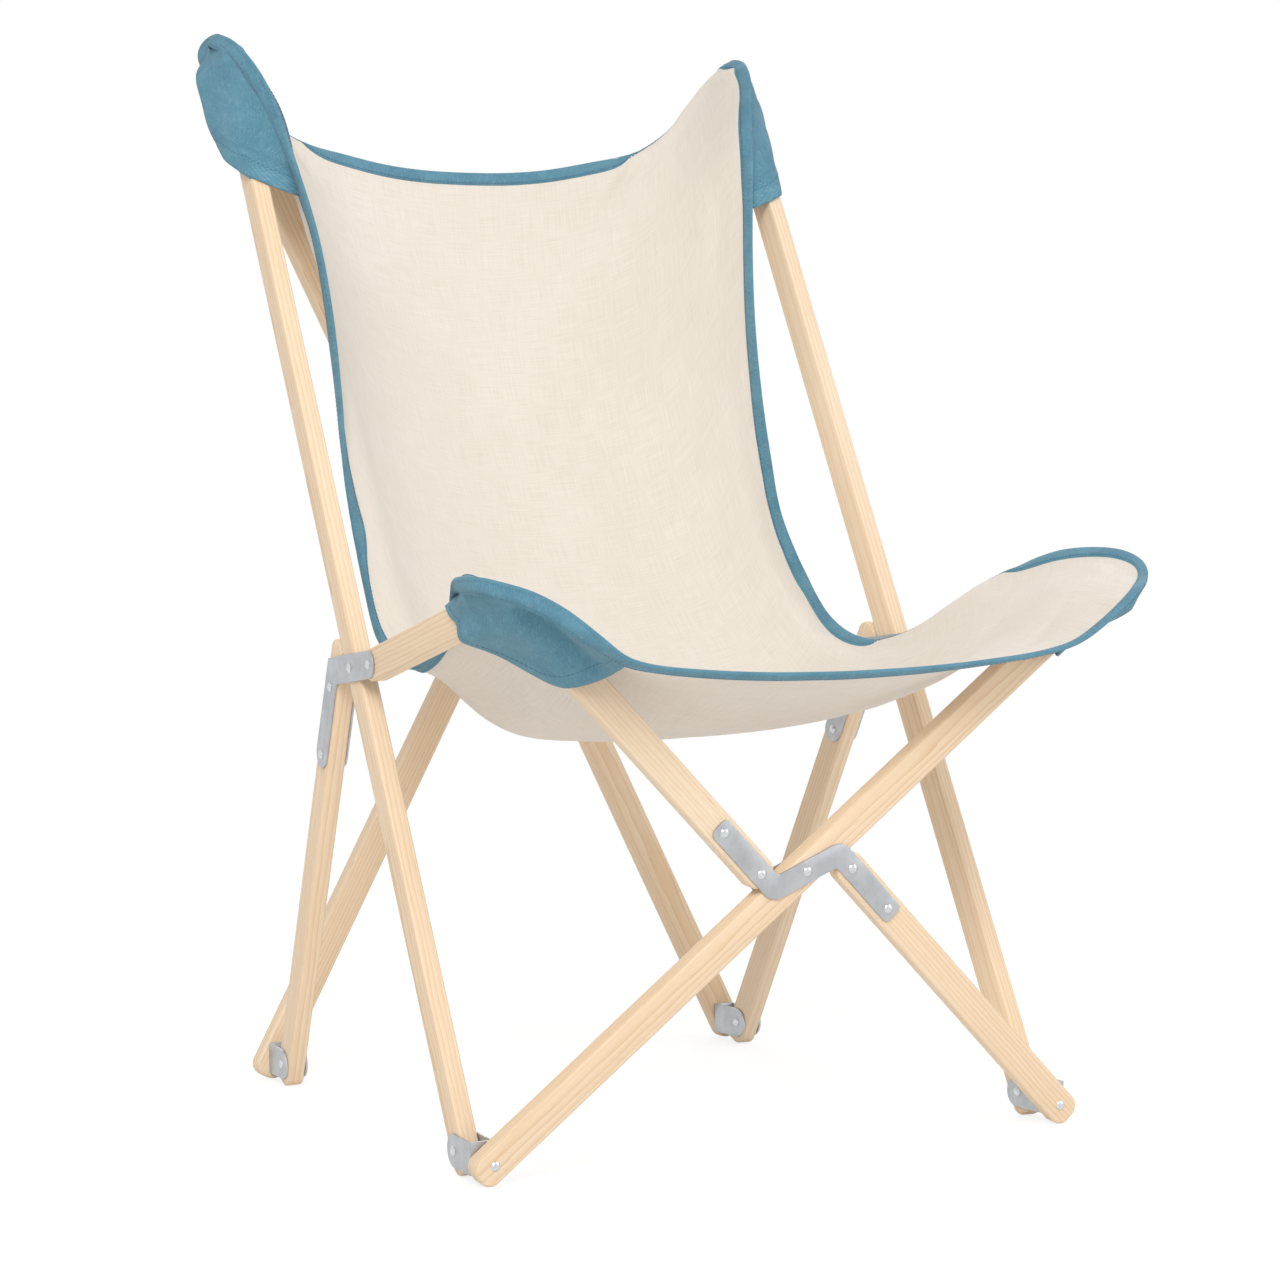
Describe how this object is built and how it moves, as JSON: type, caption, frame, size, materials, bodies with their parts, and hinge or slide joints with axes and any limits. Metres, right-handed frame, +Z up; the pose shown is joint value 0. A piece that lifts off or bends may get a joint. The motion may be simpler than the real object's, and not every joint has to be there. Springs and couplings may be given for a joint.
{
  "type": "folding butterfly chair",
  "caption": "Folding butterfly chair: crossed flat wooden bars on steel plates and foot brackets, with a canvas sling hung from corner pockets.",
  "frame": {"origin": "centre of the overall outline, on the floor", "axes": "+X to the right as seen from the front, +Y to the back, +Z up"},
  "size_m": [0.6992, 0.7944, 1.052],
  "materials": {
    "wood": "pale oiled softwood, straight grain",
    "steel": "zinc-plated pressed steel",
    "rivet": "bright domed rivets",
    "canvas": "natural cream cotton canvas",
    "denim": "steel-blue twill for pockets and edge binding"
  },
  "bodies": {
    "foot_front_left": {"foot_bracket_front_left": "steel", "foot_rivet_front_left_side": "rivet", "foot_rivet_front_left_cross": "rivet"},
    "front_long": {"front_long_bar": "wood"},
    "front_split": {"front_lower_bar": "wood", "front_upper_bar": "wood", "front_plate_outer": "steel", "front_plate_inner": "steel", "front_rivet_lower_outer": "rivet", "front_rivet_lower_inner": "rivet", "front_rivet_pivot": "rivet", "front_rivet_upper_inner": "rivet", "front_rivet_upper_outer": "rivet"},
    "foot_front_right": {"foot_bracket_front_right": "steel", "foot_rivet_front_right_side": "rivet", "foot_rivet_front_right_cross": "rivet"},
    "left_long": {"left_long_bar": "wood"},
    "left_leg": {"left_lower_bar": "wood", "left_plate_outer": "steel", "left_plate_inner": "steel", "left_rivet_pivot": "rivet", "left_rivet_leg_upper": "rivet", "left_rivet_leg_lower": "rivet", "left_rivet_arm": "rivet"},
    "left_arm": {"left_arm_bar": "wood"},
    "right_long": {"right_long_bar": "wood"},
    "right_leg": {"right_lower_bar": "wood", "right_plate_outer": "steel", "right_plate_inner": "steel", "right_rivet_pivot": "rivet", "right_rivet_leg_upper": "rivet", "right_rivet_leg_lower": "rivet", "right_rivet_arm": "rivet"},
    "right_arm": {"right_arm_bar": "wood"},
    "foot_rear_left": {"foot_bracket_rear_left": "steel", "foot_rivet_rear_left_side": "rivet", "foot_rivet_rear_left_cross": "rivet"},
    "rear_long": {"rear_long_bar": "wood"},
    "rear_split": {"rear_lower_bar": "wood", "rear_upper_bar": "wood", "rear_plate_outer": "steel", "rear_plate_inner": "steel", "rear_rivet_lower_outer": "rivet", "rear_rivet_lower_inner": "rivet", "rear_rivet_pivot": "rivet", "rear_rivet_upper_inner": "rivet", "rear_rivet_upper_outer": "rivet", "foot_rivet_rear_right_cross": "rivet"},
    "foot_rear_right": {"foot_bracket_rear_right": "steel", "foot_rivet_rear_right_side": "rivet", "foot_rivet_rear_right_cross_tail": "rivet"},
    "sling": {"sling_pocket_back_left": "denim", "sling_pocket_back_right": "denim", "sling_pocket_seat_left": "denim", "sling_pocket_seat_right": "denim", "sling_canvas": "canvas", "sling_binding_left": "denim", "sling_binding_right": "denim", "sling_binding_back": "denim", "sling_binding_front": "denim"}
  },
  "joints": [
    {"name": "front_fold", "type": "hinge", "parent": "front_long", "child": "front_split", "pos_m": [0.00455, -0.28534, 0.26184], "axis": [0, -0.9961, -0.0887], "range_deg": [-95, 0], "deforming": ["sling_pocket_back_left", "sling_pocket_back_right", "sling_pocket_seat_left", "sling_pocket_seat_right", "sling_canvas", "sling_binding_left", "sling_binding_right", "sling_binding_back", "sling_binding_front"]},
    {"name": "foot_front_left_front", "type": "hinge", "parent": "foot_front_left", "child": "front_long", "pos_m": [-0.29695, -0.26371, 0.019], "axis": [0, -0.9961, -0.0887], "range_deg": [0, 52.24], "deforming": ["sling_pocket_back_left", "sling_pocket_back_right", "sling_pocket_seat_left", "sling_pocket_seat_right", "sling_canvas", "sling_binding_left", "sling_binding_right", "sling_binding_back", "sling_binding_front"]},
    {"name": "left_lean", "type": "hinge", "parent": "foot_front_left", "child": "left_long", "pos_m": [-0.2979, -0.21405, 0.02296], "axis": [-0.9963, 0.0786, -0.0346], "range_deg": [-27.85, 0], "deforming": ["sling_pocket_back_left", "sling_pocket_back_right", "sling_pocket_seat_left", "sling_pocket_seat_right", "sling_canvas", "sling_binding_left", "sling_binding_right", "sling_binding_back", "sling_binding_front"]},
    {"name": "left_fold", "type": "hinge", "parent": "left_long", "child": "left_leg", "pos_m": [-0.29418, 0.01462, 0.43552], "axis": [-0.9963, 0.0786, -0.0346], "range_deg": [0, 54.27], "deforming": ["sling_pocket_back_left", "sling_pocket_back_right", "sling_pocket_seat_left", "sling_pocket_seat_right", "sling_canvas", "sling_binding_left", "sling_binding_right", "sling_binding_back", "sling_binding_front"]},
    {"name": "left_arm_fold", "type": "hinge", "parent": "left_leg", "child": "left_arm", "pos_m": [-0.29847, -0.03693, 0.44211], "axis": [-0.9963, 0.0786, -0.0346], "range_deg": [0, 50.17], "deforming": ["sling_pocket_back_left", "sling_pocket_back_right", "sling_pocket_seat_left", "sling_pocket_seat_right", "sling_canvas", "sling_binding_left", "sling_binding_right", "sling_binding_back", "sling_binding_front"]},
    {"name": "foot_rear_left_side", "type": "hinge", "parent": "left_leg", "child": "foot_rear_left", "pos_m": [-0.26044, 0.26068, 0.02266], "axis": [-0.9963, 0.0786, -0.0346], "range_deg": [-28.35, 0], "deforming": ["sling_pocket_back_left", "sling_pocket_back_right", "sling_pocket_seat_left", "sling_pocket_seat_right", "sling_canvas", "sling_binding_left", "sling_binding_right", "sling_binding_back", "sling_binding_front"]},
    {"name": "rear_lean", "type": "hinge", "parent": "foot_rear_left", "child": "rear_long", "pos_m": [-0.26185, 0.30901, 0.02047], "axis": [0, 0.9988, -0.0499], "range_deg": [-30.7, 0], "deforming": ["sling_pocket_back_left", "sling_pocket_back_right", "sling_pocket_seat_left", "sling_pocket_seat_right", "sling_canvas", "sling_binding_left", "sling_binding_right", "sling_binding_back", "sling_binding_front"]},
    {"name": "rear_fold", "type": "hinge", "parent": "rear_long", "child": "rear_split", "pos_m": [0.00055, 0.3323, 0.48629], "axis": [0, 0.9988, -0.0499], "range_deg": [0, 54.51], "deforming": ["sling_pocket_back_left", "sling_pocket_back_right", "sling_pocket_seat_left", "sling_pocket_seat_right", "sling_canvas", "sling_binding_left", "sling_binding_right", "sling_binding_back", "sling_binding_front"]},
    {"name": "foot_front_right_front", "type": "hinge", "parent": "front_split", "child": "foot_front_right", "pos_m": [0.29805, -0.26371, 0.019], "axis": [0, -0.9961, -0.0887], "range_deg": [0, 46.54], "deforming": ["sling_pocket_back_left", "sling_pocket_back_right", "sling_pocket_seat_left", "sling_pocket_seat_right", "sling_canvas", "sling_binding_left", "sling_binding_right", "sling_binding_back", "sling_binding_front"]},
    {"name": "right_lean", "type": "hinge", "parent": "foot_front_right", "child": "right_long", "pos_m": [0.299, -0.21405, 0.02296], "axis": [0.9963, 0.0786, -0.0346], "range_deg": [0, 27.77], "deforming": ["sling_pocket_back_left", "sling_pocket_back_right", "sling_pocket_seat_left", "sling_pocket_seat_right", "sling_canvas", "sling_binding_left", "sling_binding_right", "sling_binding_back", "sling_binding_front"]},
    {"name": "right_fold", "type": "hinge", "parent": "right_long", "child": "right_leg", "pos_m": [0.29527, 0.01462, 0.43552], "axis": [0.9963, 0.0786, -0.0346], "range_deg": [-54.15, 0], "deforming": ["sling_pocket_back_left", "sling_pocket_back_right", "sling_pocket_seat_left", "sling_pocket_seat_right", "sling_canvas", "sling_binding_left", "sling_binding_right", "sling_binding_back", "sling_binding_front"]},
    {"name": "right_arm_fold", "type": "hinge", "parent": "right_leg", "child": "right_arm", "pos_m": [0.29957, -0.03693, 0.44211], "axis": [0.9963, 0.0786, -0.0346], "range_deg": [-50.17, 0], "deforming": ["sling_pocket_back_left", "sling_pocket_back_right", "sling_pocket_seat_left", "sling_pocket_seat_right", "sling_canvas", "sling_binding_left", "sling_binding_right", "sling_binding_back", "sling_binding_front"]},
    {"name": "foot_rear_right_side", "type": "hinge", "parent": "right_leg", "child": "foot_rear_right", "pos_m": [0.26153, 0.26068, 0.02266], "axis": [0.9963, 0.0786, -0.0346], "range_deg": [0, 28.27], "deforming": ["sling_pocket_back_left", "sling_pocket_back_right", "sling_pocket_seat_left", "sling_pocket_seat_right", "sling_canvas", "sling_binding_left", "sling_binding_right", "sling_binding_back", "sling_binding_front"]},
    {"name": "sling_swing", "type": "hinge", "parent": "left_long", "child": "sling", "pos_m": [-0.26273, 0.32153, 1.03113], "axis": [1, 0, 0], "range_deg": [0, 16.01], "deforming": ["sling_pocket_back_left", "sling_pocket_back_right", "sling_pocket_seat_left", "sling_pocket_seat_right", "sling_canvas", "sling_binding_left", "sling_binding_right", "sling_binding_back", "sling_binding_front"]}
  ],
  "couplings": [
    {"joint": "foot_front_left_front", "follows": "front_fold", "ratio": -0.54983},
    {"joint": "left_lean", "follows": "front_fold", "ratio": 0.29305},
    {"joint": "left_fold", "follows": "front_fold", "ratio": -0.5711},
    {"joint": "left_arm_fold", "follows": "front_fold", "ratio": -0.52803},
    {"joint": "foot_rear_left_side", "follows": "front_fold", "ratio": 0.29836},
    {"joint": "rear_lean", "follows": "front_fold", "ratio": 0.3231},
    {"joint": "rear_fold", "follows": "front_fold", "ratio": -0.57367},
    {"joint": "foot_front_right_front", "follows": "front_fold", "ratio": -0.48982},
    {"joint": "right_lean", "follows": "front_fold", "ratio": -0.29222},
    {"joint": "right_fold", "follows": "front_fold", "ratio": 0.56993},
    {"joint": "right_arm_fold", "follows": "front_fold", "ratio": 0.52803},
    {"joint": "foot_rear_right_side", "follows": "front_fold", "ratio": -0.2975},
    {"joint": "sling_swing", "follows": "front_fold", "ratio": -0.16842}
  ]
}
